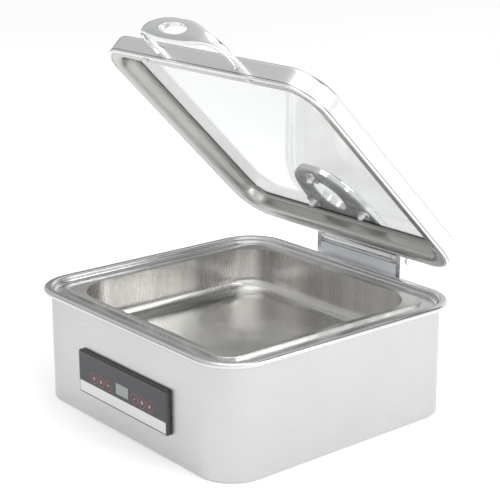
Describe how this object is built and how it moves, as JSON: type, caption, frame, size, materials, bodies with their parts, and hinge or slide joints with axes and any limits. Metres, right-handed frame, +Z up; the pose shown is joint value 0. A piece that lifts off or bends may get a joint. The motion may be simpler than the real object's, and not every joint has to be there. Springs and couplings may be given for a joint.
{
  "type": "electric chafing dish",
  "caption": "Square electric chafing dish: steel water-bath body with touch panel, lift-out food pan, and a glass lid on a damped rear hinge.",
  "frame": {"origin": "on the table, under the middle of the housing", "axes": "+Z up, +Y to the hinge at the back, +X to the right as seen by the user, who stands at -Y by the control panel"},
  "size_m": [0.4406, 0.4634, 0.5403],
  "materials": {
    "body_steel": "satin, fine horizontal grain",
    "rim_steel": "polished satin",
    "plain_steel": "mill finish",
    "fasteners": "bright zinc",
    "rubber": "matt",
    "heater_metal": "cast, matt",
    "dark_plastic": "moulded, fine texture",
    "brass": "turned",
    "insulation": "fibre board",
    "circuit_board": "solder mask",
    "light_plastic": "nylon",
    "relay_plastic": "moulded",
    "lead_sleeve": "woven sleeve",
    "panel_black": "gloss",
    "panel_glass": "polished black glass",
    "screen": "grey-green display behind glass",
    "trim_silver": "satin",
    "screen_module": "glass and tin",
    "key_red": "lit ring",
    "pin_metal": "plated",
    "hinge_steel": "satin",
    "chrome": "mirror polish",
    "spring_steel": "oiled",
    "clear_silicone": "translucent",
    "lid_steel": "satin",
    "liner_steel": "satin",
    "seal": "matt silicone",
    "pan_steel": "satin, deep drawn",
    "lid_glass": "tempered, clear"
  },
  "bodies": {
    "root": {"housing_shell": "body_steel", "water_bath": "rim_steel", "base_plate": "plain_steel", "base_screws": "fasteners", "foot_screws": "fasteners", "foot_front_left": "rubber", "foot_front_right": "rubber", "foot_rear_left": "rubber", "foot_rear_right": "rubber", "heater_plate": "heater_metal", "heater_clamp": "plain_steel", "heater_studs": "fasteners", "heater_nuts": "fasteners", "thermal_cutout": "dark_plastic", "temperature_probe": "brass", "heat_shield": "plain_steel", "insulation_board": "insulation", "power_board": "circuit_board", "board_spacers": "light_plastic", "power_relay": "relay_plastic", "transformer": "dark_plastic", "terminal_block": "dark_plastic", "mains_leads": "lead_sleeve", "panel_gasket": "rubber", "panel_frame": "panel_black", "touch_glass": "panel_glass", "display_window": "screen", "trim_strip": "trim_silver", "display_board": "circuit_board", "display_module": "screen_module", "key_sensors": "key_red", "power_inlet": "dark_plastic", "inlet_pins": "pin_metal", "inlet_screws": "fasteners", "hinge_bracket": "hinge_steel", "hinge_front_plate": "chrome", "hinge_rear_cover": "chrome", "cover_screws": "fasteners", "hinge_backing_plate": "plain_steel", "hinge_screws": "fasteners", "hinge_pin": "fasteners", "pin_caps": "chrome", "hinge_damper_left": "chrome", "hinge_damper_right": "chrome", "hinge_spring": "spring_steel"},
    "lid": {"hinge_arm": "chrome", "hinge_bush_left": "brass", "hinge_bush_right": "brass", "arm_gasket": "clear_silicone", "arm_washers": "fasteners", "arm_studs": "fasteners", "acorn_nuts": "chrome", "lid_frame": "lid_steel", "lid_liner": "liner_steel", "glass_seal": "seal", "lid_glass": "lid_glass", "lid_bumpers": "clear_silicone", "handle": "chrome", "handle_screws": "fasteners"},
    "pan": {"food_pan": "pan_steel"}
  },
  "joints": [
    {"name": "lid_hinge", "type": "hinge", "parent": "root", "child": "lid", "pos_m": [0, 0.2345, 0.1774], "axis": [1, 0, 0], "range_deg": [0, 45.3]},
    {"name": "pan_lift", "type": "slide", "parent": "root", "child": "pan", "axis": [0, 0, 1], "range_m": [0, 0.006]}
  ]
}
